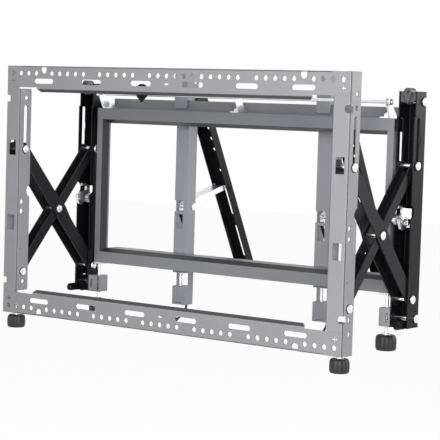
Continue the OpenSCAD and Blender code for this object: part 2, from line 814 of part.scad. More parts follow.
// The zinc plates under the display frame that the rear screws push on
module stud_plates() {
    color("silver") for (side = [-1, 1]) on_side(side) difference() {
        block([stud_x - 11, carrier_y + 1, -carrier_bottom - 3],
              [stile_out, carrier_y + 22, -carrier_bottom]);
        translate([stud_x, stud_y, -carrier_bottom - 3 - eps])
            cylinder(h = 3 + 2 * eps, r = stud_d / 2 + fit);
    }
}

module rear_knob() {
    knob(stud_x, stud_y, rear_knob_top, rear_knob_d, rear_knob_h, -carrier_bottom - 0.5);
}
module rear_left_knob() { color("black") on_side(-1) rear_knob(); }
module rear_right_knob() { color("black") on_side(1) rear_knob(); }

// Latches
// Each latch catches the middle of the centre pin when the mount is shut.
shut_pin_y = carrier_pivot_y - reach_shut / 2;
jaw_gap = 0.7;
jaw_r = pin_r + jaw_gap;
pawl_y = shut_pin_y + 10;
pawl_z = shut_centre_z - 16.5;
pawl_r = 2.5;
pawl_hub_r = 5;
pawl_open = 38;
cheek_x = inner_arm_w / 2 - arm_t - side_fit;
cheek_t = 1.4;
latch_low = shut_centre_z - 27;
latch_high = shut_centre_z + 4.2;
latch_y = pawl_y + pawl_hub_r + 3;

// The black body between the side channel's flanges, narrower where the sheet bends
module latch_base() {
    half = channel_gap / 2 - 0.5;
    bend_y = channel_back - bend_r - 0.5;
    block([post_mid - half, latch_y, latch_low], [post_mid + half, bend_y, latch_high]);
    block([post_mid - half + bend_r - sheet, bend_y, latch_low],
          [post_mid + half - bend_r + sheet, channel_back - sheet, latch_high]);
}

// The zinc jaw: a back plate, two cheeks for the pawl's pin and the fork for the centre pin
module latch_jaw() {
    back = latch_y - 2;
    tine_z = shut_centre_z;
    difference() {
        union() {
            block([post_mid - cheek_x, back, latch_low + 1],
                  [post_mid + cheek_x, latch_y, latch_high]);
            for (x = [post_mid - cheek_x, post_mid + cheek_x - cheek_t])
                block([x, pawl_y - 4.5, pawl_z - 4.5], [x + cheek_t, back, pawl_z + 5]);
        }
        bar_x(post_mid - cheek_x - eps, 2 * cheek_x + 2 * eps, pawl_y, pawl_z, pawl_r + fit);
    }
    side_sheet(post_mid - 5.4, 4.2) difference() {
        polygon([[shut_pin_y - 9, tine_z + 5], [shut_pin_y - 8, tine_z + 9],
                 [shut_pin_y + 3, tine_z + 9], [back + 0.5, tine_z + 4], [back + 0.5, tine_z - 9],
                 [shut_pin_y + 4, tine_z - 10.5], [shut_pin_y - 2, tine_z - 20],
                 [shut_pin_y - 14, tine_z - 20], [shut_pin_y - 20, tine_z - 15],
                 [shut_pin_y - 20, tine_z - 7]]);
        translate([shut_pin_y, tine_z]) circle(r = jaw_r);
        polygon([[shut_pin_y, tine_z + jaw_r], [shut_pin_y - 24, tine_z + jaw_r],
                 [shut_pin_y - 24, tine_z - jaw_r - 6.5], [shut_pin_y - 12, tine_z - jaw_r - 2.6],
                 [shut_pin_y, tine_z - jaw_r]]);
    }
}

// The pawl, drawn locked round the pin and then swung open
module latch_pawl() {
    finger_y = shut_pin_y - pin_r - 1;
    translate([0, pawl_y, pawl_z]) rotate([pawl_open, 0, 0])
        translate([0, -pawl_y, -pawl_z])
            side_sheet(post_mid + 0.6, 4.6) difference() {
                union() {
                    translate([pawl_y, pawl_z]) circle(r = pawl_hub_r);
                    polygon([[pawl_y, pawl_z - 5], [pawl_y, pawl_z + 5],
                             [finger_y, pawl_z + 6], [finger_y, shut_centre_z + 2],
                             [finger_y - 3.4, shut_centre_z + 1], [finger_y - 6, pawl_z + 3],
                             [finger_y - 3, pawl_z - 3]]);
                }
                translate([pawl_y, pawl_z]) circle(r = pawl_r + fit);
            }
}

module left_latch_base() { color("black") on_side(-1) latch_base(); }
module right_latch_base() { color("black") on_side(1) latch_base(); }
module left_latch_jaw() { color("silver") on_side(-1) latch_jaw(); }
module right_latch_jaw() { color("silver") on_side(1) latch_jaw(); }
module left_latch_pawl() { color("silver") on_side(-1) latch_pawl(); }
module right_latch_pawl() { color("silver") on_side(1) latch_pawl(); }

module latch_pins() {
    color("silver") for (side = [-1, 1]) on_side(side)
        bar_x(post_mid - cheek_x, 2 * cheek_x, pawl_y, pawl_z, pawl_r);
}

// Locking rod and its brackets

module locking_rod() {
    color("silver") {
        bar_x(-rod_len / 2, rod_len, rod_y, rod_z, rod_d / 2);
        for (end = [-1, 1]) translate([end * rod_len / 2, rod_y, rod_z])
            rotate([0, end * 90, 0]) translate([0, 0, -2])
                difference() {
                    cylinder(h = 5, d = 10.5);
                    translate([0, 0, 3]) cylinder(h = 3, d = 5, $fn = 6);
                }
    }
}

// A bent zinc plate standing on the top rail; foot_dir is where its foot points
module rod_bracket(x, foot_dir) {
    t = 2;
    foot_y = carrier_y + 2;
    foot_w = 20;
    foot_len = 18;
    eye_r = 7;
    side_sheet(x - t / 2, t) difference() {
        union() {
            translate([rod_y, rod_z]) circle(r = eye_r);
            polygon([[foot_y, carrier_top], [foot_y + foot_w, carrier_top],
                     [foot_y + foot_w, carrier_top + 4], [rod_y + 6.5, rod_z + 2],
                     [rod_y - eye_r, rod_z]]);
        }
        translate([rod_y, rod_z]) circle(r = rod_d / 2 + 0.1);
    }
    block([foot_dir > 0 ? x : x - foot_len, foot_y, carrier_top],
          [foot_dir > 0 ? x + foot_len : x, foot_y + foot_w, carrier_top + t]);
}

rod_bracket_x = rod_len / 2 - 4;

module rod_brackets() {
    color("silver") {
        rod_bracket(-rod_bracket_x, 1);
        rod_bracket(2, -1);
        rod_bracket(rod_bracket_x, -1);
    }
}

module rod_nut(x) {
    translate([x, carrier_y + 12, carrier_top + 2]) {
        translate([-3.8, -3.8, 0]) cube([7.6, 7.6, 5]);
        cylinder(h = 7.5, d = 4.6);
    }
}

module rod_bracket_nuts() {
    color("silver") {
        rod_nut(-rod_bracket_x + 12);
        rod_nut(2 - 10);
        rod_nut(rod_bracket_x - 10);
    }
}

// Uprights, drawn about their own centre line, then moved to their place

module at_upright(side) {
    translate([side * upright_x, 0, 0]) children();
}

module upright_local() {
    half = upright_w / 2;
    difference() {
        union() {
            block([-half, upright_y, upright_foot], [half, upright_y + upright_t, hanger_top - 24]);
            for (x = [-half, half - upright_t]) side_sheet(x, upright_t) difference() {
                polygon([[upright_y, upright_foot], [upright_back, upright_foot],
                         [upright_back, hook_top - 7], [upright_back - 5, hook_top],
                         [hook_lip_y, hook_top], [hook_lip_y, hanger_top + 0.8],
                         [upright_y, hanger_top + 0.8]]);
                translate([hinge_y, hinge_z]) circle(r = hinge_r + fit);
                translate([strut_y, strut_z]) circle(r = hinge_r + fit);
                translate([upright_back - 8, hook_top - 16]) circle(d = hook_hole_d);
            }
            block([-half, hook_lip_y, hook_top - upright_t], [half, upright_back - 5, hook_top]);
            face_sheet(hook_lip_y - upright_t, upright_t)
                polygon([[-half, hook_top], [-half, hook_foot + 4], [-half + 2.6, hook_foot],
                         [half - 2.6, hook_foot], [half, hook_foot + 4], [half, hook_top]]);
        }
        block([-half - eps, upright_y - eps, block_top], [half + eps, upright_y + 11, window_top]);
        block([-5.5, upright_y - eps, upright_foot - eps],
              [7, upright_y + upright_t + eps, upright_foot + 4]);
        block([-half - eps, upright_y - eps, -34.5], [half - 8, upright_y + upright_t + 2, -14.8]);
        block([-8.5, upright_y - eps, -64.5], [5, upright_y + upright_t + eps, -39.3]);
    }
    // The foot cup under the height screw, and the plug behind the notch in the foot
    difference() {
        block([-half + upright_t, upright_y + upright_t, block_top - 3],
              [half - upright_t, upright_back, block_top]);
        translate([-1.5, upright_y + 8, block_top - 3 - eps])
            cylinder(h = 3 + 2 * eps, r = stud_d / 2 + fit);
    }
    block([-half + upright_t, upright_y + 3, upright_foot],
          [half - upright_t, upright_y + 10, upright_foot + 6]);
}

module left_upright() { color("gray") at_upright(-1) upright_local(); }
module right_upright() { color("gray") at_upright(1) upright_local(); }

// The black tab inside the upright's lower window
module strut_catch_local() {
    top = upright_y + upright_t;
    side_sheet(-5.5, 3)
        polygon([[top, -35], [top, -39], [top + 15, -64.5], [top + 18, -62], [top + 5, -37.5]]);
}

module strut_catches() {
    color("black") for (side = [-1, 1]) at_upright(side) strut_catch_local();
}

// The zinc screw in the upright's window, under the display frame's bottom rail
module height_screw_local() {
    foot_z = block_top - 12;
    translate([-1.5, upright_y + 8, foot_z])
        cylinder(h = strut_z - strut_len - 9 - foot_z, r = stud_d / 2);
}

module left_height_screw() { color("silver") at_upright(-1) height_screw_local(); }
module right_height_screw() { color("silver") at_upright(1) height_screw_local(); }

// The display bracket, drawn folded, its hinge at hinge_y and hinge_z.
// It is a channel open to the wall, with ears that reach the hinge.
web_hole_s = [66.3, 87.8, 109.3];
small_hole_s = 152.5;
web_slots = [[190, 245], [268, 334]];

module leg_side_2d() {
    front = hinge_y + leg_front;
    back = hinge_y + leg_back;
    difference() {
        union() {
            translate([hinge_y, hinge_z]) circle(r = 7);
            polygon([[hinge_y - 5, hinge_z + 5], [front, hinge_z + 10], [back, hinge_z + 10],
                     [back, hinge_z - leg_len], [front + 3, hinge_z - leg_len],
                     [front, hinge_z - leg_len + 5], [front, hinge_z - 26],
                     [hinge_y - 3, hinge_z - 6.4]]);
        }
        translate([hinge_y, hinge_z]) circle(r = hinge_r + fit);
        translate([front + 5, hinge_z - nose_s]) rotate(90) slot_2d(13, 4);
    }
}

module leg_local() {
    half = leg_w / 2;
    back = hinge_y + leg_back;
    for (x = [-half, half - leg_t]) side_sheet(x, leg_t) leg_side_2d();
    face_sheet(back - leg_t, leg_t) difference() {
        translate([-half + leg_t, hinge_z - leg_len]) square([leg_w - 2 * leg_t, leg_len + 10]);
        for (s = web_hole_s) translate([0, hinge_z - s]) circle(d = 7);
        translate([0, hinge_z - small_hole_s]) circle(d = 5.4);
        for (slot = web_slots)
            translate([0, hinge_z - (slot[0] + slot[1]) / 2])
                rotate(90) slot_2d(slot[1] - slot[0], 6.4);
    }
}

module tilted(angle) {
    translate([0, hinge_y, hinge_z]) rotate([angle, 0, 0])
        translate([0, -hinge_y, -hinge_z]) children();
}

module left_display_bracket() {
    color("black") at_upright(-1) tilted(tilt_open) leg_local();
}
module right_display_bracket() {
    color("black") at_upright(1) tilted(tilt_open) leg_local();
}

module pin_across(half_len, y, z, r, head_r) {
    bar_x(-half_len - 1.6, 2 * half_len + 3.2, y, z, r);
    for (end = [-1, 1]) bar_x(end > 0 ? half_len : -half_len - 1.6, 1.6, y, z, head_r);
}

module bracket_hinge_pins() {
    color("black") for (side = [-1, 1]) at_upright(side)
        pin_across(leg_w / 2 + 0.3, hinge_y, hinge_z, hinge_r, 5.5);
}

module strut_pins() {
    color("silver") for (side = [-1, 1]) at_upright(side)
        pin_across(upright_w / 2, strut_y, strut_z, hinge_r, 6.2);
}

// The strut, drawn straight up from its pin: a tapered channel, open underneath
module strut_local() {
    half = strut_w / 2;
    plate_t = 1.5;
    difference() {
        union() {
            for (x = [-half, half - plate_t]) side_sheet(x, plate_t)
                polygon([[-8, -10], [4, -12], [7.5, -2], [7, 20], [0.6, strut_len * 0.58],
                         [2.6, strut_len - 4], [1.8, strut_len + 1.8], [-4.5, strut_len + 1.8],
                         [-7, strut_len - 8], [-10.8, 16], [-10, 4]]);
            side_sheet(-half, strut_w)
                polygon([[-10.8, 16], [-7, strut_len - 8], [-5.5, strut_len - 8], [-9.3, 16]]);
            bar_x(-half, strut_w, 0, strut_len, nose_r - 0.7);
        }
        bar_x(-half - eps, strut_w + 2 * eps, 0, 0, hinge_r + fit);
    }
}

module tilt_strut() {
    translate([0, strut_y, strut_z]) rotate([-strut_up, 0, 0]) strut_local();
}

module left_tilt_strut() { color("silver") at_upright(-1) tilt_strut(); }
module right_tilt_strut() { color("silver") at_upright(1) tilt_strut(); }

// The release lever: a bent rod under each upright, turning on its cross bar
module release_lever_local() {
    half = upright_w / 2 - upright_t - 0.4;
    y0 = upright_back - 6;
    z0 = lever_z;
    points = [[0, 0], [1, -10], [-6, -20], [-20, -29], [-34, -34]];
    bar_x(-half, 2 * half, y0, z0, lever_d / 2);
    for (i = [0:len(points) - 2]) {
        a = points[i];
        b = points[i + 1];
        length = norm(b - a);
        angle = atan2(b[0] - a[0], b[1] - a[1]);
        translate([lever_x, y0 + a[0], z0 + a[1]]) {
            sphere(d = lever_d + 0.3);
            rotate([-angle, 0, 0]) cylinder(h = length, d = lever_d);
        }
    }
    tip = points[len(points) - 1];
    translate([lever_x, y0 + tip[0] + 6, z0 + tip[1] + 2.1])
        rotate([-atan2(-14, -5), 0, 0]) cylinder(h = 17, d = lever_d + 3);
}

module left_release_lever() { color("black") at_upright(-1) release_lever_local(); }
module right_release_lever() { color("black") at_upright(1) release_lever_local(); }

wall_top_rail();
wall_bottom_rail();
wall_left_post();
wall_right_post();
foot_blocks();
rail_tab();
front_left_knob();
front_right_knob();
left_inner_arm();
right_inner_arm();
left_outer_arm();
right_outer_arm();
left_centre_pin();
right_centre_pin();
left_wall_pivot();
right_wall_pivot();
left_wall_slide_pin();
right_wall_slide_pin();
left_carrier_pivot();
right_carrier_pivot();
left_carrier_slide_pin();
right_carrier_slide_pin();
carrier_top_rail();
carrier_bottom_rail();
carrier_left_stile();
carrier_right_stile();
hanging_rail();
left_side_channel();
right_side_channel();
guide_blocks();
channel_bolts();
top_bosses();
bottom_lugs();
corner_blocks();
stud_plates();
rear_left_knob();
rear_right_knob();
left_latch_base();
right_latch_base();
left_latch_jaw();
right_latch_jaw();
left_latch_pawl();
right_latch_pawl();
latch_pins();
locking_rod();
rod_brackets();
rod_bracket_nuts();
left_upright();
right_upright();
strut_catches();
left_height_screw();
right_height_screw();
left_display_bracket();
right_display_bracket();
bracket_hinge_pins();
strut_pins();
left_tilt_strut();
right_tilt_strut();
left_release_lever();
right_release_lever();
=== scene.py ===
"""Looks of the pop-out wall mount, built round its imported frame.

Metres, +Z up, +Y away from the wall.
"""
import json
import math

import bpy
from mathutils import Matrix, Vector


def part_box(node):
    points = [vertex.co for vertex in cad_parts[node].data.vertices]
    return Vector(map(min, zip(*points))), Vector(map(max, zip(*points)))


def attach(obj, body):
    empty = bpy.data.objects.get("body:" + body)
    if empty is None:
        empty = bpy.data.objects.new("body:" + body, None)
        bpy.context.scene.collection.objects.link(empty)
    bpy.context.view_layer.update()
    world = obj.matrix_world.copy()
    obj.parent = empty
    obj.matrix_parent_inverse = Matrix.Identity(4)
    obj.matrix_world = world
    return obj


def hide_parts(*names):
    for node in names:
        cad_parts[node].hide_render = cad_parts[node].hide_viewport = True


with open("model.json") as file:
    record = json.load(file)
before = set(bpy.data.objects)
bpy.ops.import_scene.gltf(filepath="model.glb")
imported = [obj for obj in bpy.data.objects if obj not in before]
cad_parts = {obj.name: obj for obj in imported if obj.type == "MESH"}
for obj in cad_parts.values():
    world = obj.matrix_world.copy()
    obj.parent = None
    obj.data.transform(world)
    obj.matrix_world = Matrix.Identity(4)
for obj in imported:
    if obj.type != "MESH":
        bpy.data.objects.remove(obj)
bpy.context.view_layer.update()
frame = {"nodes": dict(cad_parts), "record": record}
nodes = frame["nodes"]

# Shared sizes, in metres
MM = 0.001
SIDES = {"left": -1, "right": 1}
ROUND = 48


# Materials

class Shader:
    """A material's node tree with short ways to add and join nodes."""

    def __init__(self, name):
        self.material = bpy.data.materials.new(name)
        self.material.use_nodes = True
        self.tree = self.material.node_tree
        self.bsdf = self.tree.nodes["Principled BSDF"]
        self.place = self.add("ShaderNodeTexCoord").outputs["Object"]

    def add(self, kind, **settings):
        node = self.tree.nodes.new(kind)
        for key, value in settings.items():
            setattr(node, key, value)
        return node

    def join(self, output, socket):
        self.tree.links.new(output, socket)

    def stretched(self, scale):
        """Object coordinates multiplied by scale along each axis."""
        node = self.add("ShaderNodeMapping")
        node.inputs["Scale"].default_value = scale
        self.join(self.place, node.inputs["Vector"])
        return node.outputs["Vector"]

    def noise(self, scale, detail=2.0, place=None):
        node = self.add("ShaderNodeTexNoise")
        node.inputs["Scale"].default_value = scale
        node.inputs["Detail"].default_value = detail
        self.join(place or self.place, node.inputs["Vector"])
        return node.outputs["Fac"]

    def spread(self, value, low, high, start=0.3, stop=0.7):
        """Maps a value from the range start to stop to the range low to high."""
        node = self.add("ShaderNodeMapRange")
        node.inputs["From Min"].default_value = start
        node.inputs["From Max"].default_value = stop
        node.inputs["To Min"].default_value = low
        node.inputs["To Max"].default_value = high
        self.join(value, node.inputs["Value"])
        return node.outputs["Result"]

    def mix(self, value, first, second):
        """A colour between two, each an output or a colour, by a value from 0 to 1."""
        node = self.add("ShaderNodeMix", data_type="RGBA")
        self.join(value, node.inputs["Factor"])
        for socket, colour in ((node.inputs[6], first), (node.inputs[7], second)):
            if isinstance(colour, tuple):
                socket.default_value = (*colour, 1.0)
            else:
                self.join(colour, socket)
        return node.outputs[2]

    def soft_edge(self, radius):
        """The normal with every edge rounded by radius."""
        edge = self.add("ShaderNodeBevel", samples=4)
        edge.inputs["Radius"].default_value = radius
        return edge.outputs["Normal"]

    def painted_edge_mask(self, rounded):
        """1 along the edges that soft_edge rounds, 0 on flat metal; painted highlight and shade are
        laid along it.
        """
        dot = self.add("ShaderNodeVectorMath", operation="DOT_PRODUCT")
        self.join(rounded, dot.inputs[0])
        self.join(self.add("ShaderNodeNewGeometry").outputs["True Normal"], dot.inputs[1])
        return self.spread(dot.outputs["Value"], 1.0, 0.0, 0.82, 0.97)

    def painted_fold_shade_mask(self, start):
        """1 on metal that faces partly forwards and partly sideways, 0 on square faces; painted
        shade is laid along it.
        """
        parts = self.add("ShaderNodeSeparateXYZ")
        self.join(self.add("ShaderNodeNewGeometry").outputs["True Normal"], parts.inputs[0])
        squares = []
        for axis in ("X", "Y", "Z"):
            square = self.add("ShaderNodeMath", operation="MULTIPLY")
            self.join(parts.outputs[axis], square.inputs[0])
            self.join(parts.outputs[axis], square.inputs[1])
            squares.append(square.outputs["Value"])
        off_front = self.add("ShaderNodeMath", operation="SUBTRACT")
        off_front.inputs[0].default_value = 1.0
        self.join(squares[1], off_front.inputs[1])
        product = self.add("ShaderNodeMath", operation="MULTIPLY")
        self.join(off_front.outputs["Value"], product.inputs[0])
        self.join(squares[1], product.inputs[1])
        return self.spread(product.outputs["Value"], 0.0, 1.0, start, start + 0.05)

    def bump(self, height, strength, distance, rounded):
        node = self.add("ShaderNodeBump")
        node.inputs["Strength"].default_value = strength
        node.inputs["Distance"].default_value = distance
        self.join(height, node.inputs["Height"])
        self.join(rounded, node.inputs["Normal"])
        self.join(node.outputs["Normal"], self.bsdf.inputs["Normal"])


def shade(colour, amount):
    return tuple(channel * amount for channel in colour)


def powder_coat(name, colour, painted_edge_colour, roughness, gloss, fold_shade_colour=None, fold_shade_start=0.17):
    """Powder coat: orange peel, a fine fleck, faint mottling and edges in a painted tone: a painted
    highlight where it is lighter than the coat, painted shade where it is darker.

    With a fold colour the bends and the sloping lips get painted shade, darker than the flat faces."""
    s = Shader(name)
    rounded = s.soft_edge(0.7 * MM)
    mottle = s.spread(s.noise(11.0, 4.0), 0.0, 1.0)
    fleck = s.spread(s.noise(2600.0, 1.0), 0.0, 0.12, 0.55, 0.75)
    body = s.mix(mottle, shade(colour, 0.95), shade(colour, 1.04))
    body = s.mix(fleck, body, shade(colour, 1.5))
    # Painted edge tone: a painted highlight where the edge colour is lighter than the coat, painted
    # shade where it is darker.
    body = s.mix(s.painted_edge_mask(rounded), body, painted_edge_colour)
    # Painted shade: the bends and sloping lips are darker than the flat faces.
    if fold_shade_colour:
        body = s.mix(s.painted_fold_shade_mask(fold_shade_start), body, fold_shade_colour)
    s.join(body, s.bsdf.inputs["Base Color"])
    s.join(s.spread(s.noise(26.0, 3.0), roughness - 0.04, roughness + 0.05),
           s.bsdf.inputs["Roughness"])
    s.bsdf.inputs["Specular IOR Level"].default_value = gloss
    s.bump(s.noise(1100.0, 2.0), 0.10, 0.15 * MM, rounded)
    return s.material


def zinc_plate(name, colour, roughness, grain):
    """Bright zinc plate: rolling marks, faint clouds and uneven gloss."""
    s = Shader(name)
    s.bsdf.inputs["Metallic"].default_value = 1.0
    marks = s.noise(1.0, 2.0, s.stretched(grain))
    cloud = s.spread(s.noise(38.0, 3.0), 0.0, 1.0)
    s.join(s.mix(cloud, shade(colour, 0.93), colour), s.bsdf.inputs["Base Color"])
    s.join(s.spread(marks, roughness - 0.05, roughness + 0.07), s.bsdf.inputs["Roughness"])
    s.bump(marks, 0.05, 0.05 * MM, s.soft_edge(0.5 * MM))
    return s.material


def moulded_plastic(name, colour, roughness, gloss=0.5):
    """Moulded black plastic with a fine spark-eroded texture and a painted highlight along the
    edges.
    """
    s = Shader(name)
    rounded = s.soft_edge(0.5 * MM)
    body = s.mix(s.spread(s.noise(40.0, 3.0), 0.0, 1.0), shade(colour, 0.85), shade(colour, 1.15))
    # Painted highlight: the edges are lighter than the body.
    s.join(s.mix(s.painted_edge_mask(rounded), body, shade(colour, 1.5)), s.bsdf.inputs["Base Color"])
    s.join(s.spread(s.noise(70.0, 2.0), roughness - 0.04, roughness + 0.06),
           s.bsdf.inputs["Roughness"])
    s.bsdf.inputs["Specular IOR Level"].default_value = gloss
    s.bump(s.noise(1600.0, 1.0), 0.08, 0.12 * MM, rounded)
    return s.material


# The grey coats' colours are set to how bright each frame looks, so they are partly the frames' own
# colour and partly painted sheen, and the display frame's darker coat is partly painted shade. In
# each coat the second colour is the painted edge tone, and the last colour of the wall and display
# frame coats is the painted fold shade.
WALL_COAT = powder_coat("wall_frame_coat", (0.415, 0.413, 0.437), (0.25, 0.25, 0.27), 0.40, 0.5,
                        (0.060, 0.060, 0.066))
FRAME_COAT = powder_coat("display_frame_coat", (0.312, 0.317, 0.348), (0.20, 0.20, 0.22), 0.40,
                         0.5, (0.030, 0.030, 0.034), 0.10)
UPRIGHT_COAT = powder_coat("upright_coat", (0.405, 0.412, 0.448), (0.26, 0.27, 0.29), 0.42, 0.4)
ARM_COAT = powder_coat("arm_coat", (0.014, 0.014, 0.017), (0.10, 0.10, 0.11), 0.32, 0.16)
CHANNEL_COAT = powder_coat("channel_coat", (0.008, 0.008, 0.010), (0.06, 0.06, 0.065), 0.32, 0.13)
ZINC = zinc_plate("zinc_plate", (0.78, 0.79, 0.80), 0.34, (60.0, 700.0, 700.0))
ZINC_PIN = zinc_plate("zinc_pin", (0.88, 0.88, 0.89), 0.26, (150.0, 150.0, 150.0))
PLASTIC = moulded_plastic("black_plastic", (0.012, 0.012, 0.013), 0.48)
DULL_PLASTIC = moulded_plastic("dull_plastic", (0.006, 0.006, 0.008), 0.50, 0.10)
BOSS_PLASTIC = moulded_plastic("boss_plastic", (0.120, 0.120, 0.128), 0.40)
RUBBER = moulded_plastic("black_sleeve", (0.012, 0.012, 0.013), 0.55)

COATS = {
    "wall_top_rail": WALL_COAT, "wall_bottom_rail": WALL_COAT,
    "wall_left_post": WALL_COAT, "wall_right_post": WALL_COAT,
    "carrier_top_rail": FRAME_COAT, "carrier_bottom_rail": FRAME_COAT,
    "carrier_left_stile": FRAME_COAT, "carrier_right_stile": FRAME_COAT,
    "hanging_rail": FRAME_COAT, "corner_blocks": UPRIGHT_COAT,
    "left_upright": UPRIGHT_COAT, "right_upright": UPRIGHT_COAT,
    "left_inner_arm": ARM_COAT, "right_inner_arm": ARM_COAT,
    "left_outer_arm": ARM_COAT, "right_outer_arm": ARM_COAT,
    "left_side_channel": CHANNEL_COAT, "right_side_channel": CHANNEL_COAT,
    "left_display_bracket": CHANNEL_COAT, "right_display_bracket": CHANNEL_COAT,
    "foot_blocks": CHANNEL_COAT, "bracket_hinge_pins": CHANNEL_COAT,
    "top_bosses": BOSS_PLASTIC,
}
SLOT_COATS = {"zinc": ZINC, "black_plastic": DULL_PLASTIC, "black_steel": CHANNEL_COAT,
              "grey_steel": FRAME_COAT}


def coat_cad_nodes():
    """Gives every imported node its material."""
    slots = {part["node"]: part["material_slot"] for part in frame["record"]["subparts"]}
    for name, obj in nodes.items():
        material = COATS.get(name) or SLOT_COATS[slots[name]]
        if not obj.material_slots:
            obj.data.materials.append(material)
        for item in obj.material_slots:
            item.material = material


# Mesh helpers

def add_piece(name, verts, faces, material, body, slot, sharp_deg=35.0):
    """A mesh object with smooth faces and sharp edges, riding on a body."""
    mesh = bpy.data.meshes.new(name)
    mesh.from_pydata([tuple(v) for v in verts], [], faces)
    mesh.validate()
    mesh.shade_smooth()
    mesh.set_sharp_from_angle(angle=math.radians(sharp_deg))
    mesh.materials.append(material)
    piece = bpy.data.objects.new(name, mesh)
    bpy.context.scene.collection.objects.link(piece)
    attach(piece, body)
    return piece


def ring_faces(rows, columns, first=0, closed=True):
    """Quads of a grid of rows of points; each row is closed to a ring."""
    faces = []
    span = columns if closed else columns - 1
    for row in range(rows - 1):
        for column in range(span):
            a = first + row * columns + column
            b = first + row * columns + (column + 1) % columns
            faces.append((a, b, b + columns, a + columns))
    return faces


def lathe(profile, place):
    """Turns (along, radius) pairs round an axis; place maps (along, u, v) to a point."""
    verts = []
    for along, radius in profile:
        for i in range(ROUND):
            angle = 2 * math.pi * i / ROUND
            verts.append(place(along, radius * math.cos(angle), radius * math.sin(angle)))
    faces = ring_faces(len(profile), ROUND)
    faces.append(tuple(reversed(range(ROUND))))
    faces.append(tuple(range((len(profile) - 1) * ROUND, len(profile) * ROUND)))
    return verts, faces


def joined(*meshes):
    """One list of vertices and one of faces from several meshes."""
    verts, faces = [], []
    for part_verts, part_faces in meshes:
        start = len(verts)
        verts += part_verts
        faces += [tuple(start + i for i in face) for face in part_faces]
    return verts, faces


def body_of_node(name):
    bodies = frame["record"]["behaviour"]["bodies"]
    return next(body for body, members in bodies.items() if name in members)


def corner_boxes(name):
    """The boxes of a node's pieces that lie in different quarters of the XZ plane."""
    quarters = {}
    for vertex in nodes[name].data.vertices:
        key = (vertex.co.x > 0, vertex.co.z > 0)
        quarters.setdefault(key, []).append(vertex.co)
    boxes = []
    for points in quarters.values():
        boxes.append((Vector([min(p[i] for p in points) for i in range(3)]),
                      Vector([max(p[i] for p in points) for i in range(3)])))
    return boxes


# Scissor pins

PIN_R = 4.0 * MM
HEAD_H = 3.6 * MM
WASHER_T = 0.8 * MM
WASHER_RIM = 0.7 * MM


def domed_end(seat, radius, direction):
    """Half a profile: from the middle of a pin out to its dimpled, domed head."""
    h = HEAD_H
    shape = [(0.0, radius * 0.94), (0.0004, radius), (h * 0.30, radius), (h * 0.50, radius * 0.965),
             (h * 0.70, radius * 0.87), (h * 0.86, radius * 0.70), (h * 0.95, radius * 0.50),
             (h, radius * 0.30), (h * 0.985, radius * 0.22), (h * 0.86, radius * 0.15),
             (h * 0.74, radius * 0.08), (h * 0.70, radius * 0.01)]
    profile = [(0.0, PIN_R), (seat, PIN_R)]
    profile += [(seat + along, r) for along, r in shape]
    return [(direction * along, r) for along, r in profile]


def collar(inner, outer):
    return [(-outer, PIN_R), (-outer, PIN_R + 2 * MM), (-inner, PIN_R + 2 * MM), (-inner, PIN_R),
            (inner, PIN_R), (inner, PIN_R + 2 * MM), (outer, PIN_R + 2 * MM), (outer, PIN_R)]


def add_pin(name, low, high, body, collars=None):
    """A zinc pin along X with a domed head and a black washer at both ends."""
    middle = (low + high) / 2
    half = (high.x - low.x) / 2
    head_r = (high.y - low.y) / 2 - WASHER_RIM
    seat = half - HEAD_H

    def place(along, u, v):
        return (middle.x + along, middle.y + u, middle.z + v)

    left = list(reversed(domed_end(seat, head_r, -1)[1:]))
    right = domed_end(seat, head_r, 1)[1:]
    profile = left + (collar(*collars) if collars else []) + right
    pin = add_piece(name + "_domed", *lathe(profile, place), ZINC_PIN, body, "zinc")
    washers = []
    for side in (-1, 1):
        near, far = side * (seat - WASHER_T), side * seat
        rim = head_r + WASHER_RIM
        washers.append(lathe([(near, PIN_R), (near, rim), (far - side * 0.0002, rim),
                              (far, rim - 0.0002), (far, PIN_R)], place))
    add_piece(name + "_washers", *joined(*washers), PLASTIC, body, "black_plastic")
    return pin


def dress_pins():
    collars_of = {"wall_pivot": (10.8 * MM, 14.0 * MM), "carrier_slide_pin": (10.8 * MM, 13.7 * MM)}
    for side in SIDES:
        for kind in ("centre_pin", "wall_pivot", "wall_slide_pin", "carrier_pivot",
                     "carrier_slide_pin"):
            name = "%s_%s" % (side, kind)
            low, high = (Vector(corner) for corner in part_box(name))
            pin = add_pin(name, low, high, body_of_node(name), collars_of.get(kind))
            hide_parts(name)
    bolts = []
    for index, (low, high) in enumerate(corner_boxes("channel_bolts")):
        bolts.append(add_pin("channel_bolt_%d" % index, low, high, body_of_node("channel_bolts")))
    for bolt in bolts:
        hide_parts("channel_bolts")


# Screws and knobs

SCREW_R = 3.0 * MM
SCREW_PITCH = 1.0 * MM
FLUTES = 10
KNOB_HEIGHTS = {"front": 22.0 * MM, "rear": 25.0 * MM}


def threaded_rod(x, y, z_low, z_high, radius, pitch):
    """A screw along Z: a grid whose radius rises and falls along a helix."""
    columns = 24
    per_turn = 8
    depth = 0.15 * pitch
    rows = max(2, int((z_high - z_low) / pitch * per_turn))
    verts = []
    for row in range(rows + 1):
        z = z_low + (z_high - z_low) * row / rows
        end = min(z - z_low, z_high - z)
        for column in range(columns):
            phase = (z / pitch - column / columns) % 1.0
            cut = depth * abs(2 * phase - 1)
            r = radius - max(cut, 0.0008 - end)
            angle = 2 * math.pi * column / columns
            verts.append((x + r * math.cos(angle), y + r * math.sin(angle), z))
    faces = ring_faces(rows + 1, columns)
    faces.append(tuple(reversed(range(columns))))
    faces.append(tuple(range(rows * columns, (rows + 1) * columns)))
    return verts, faces


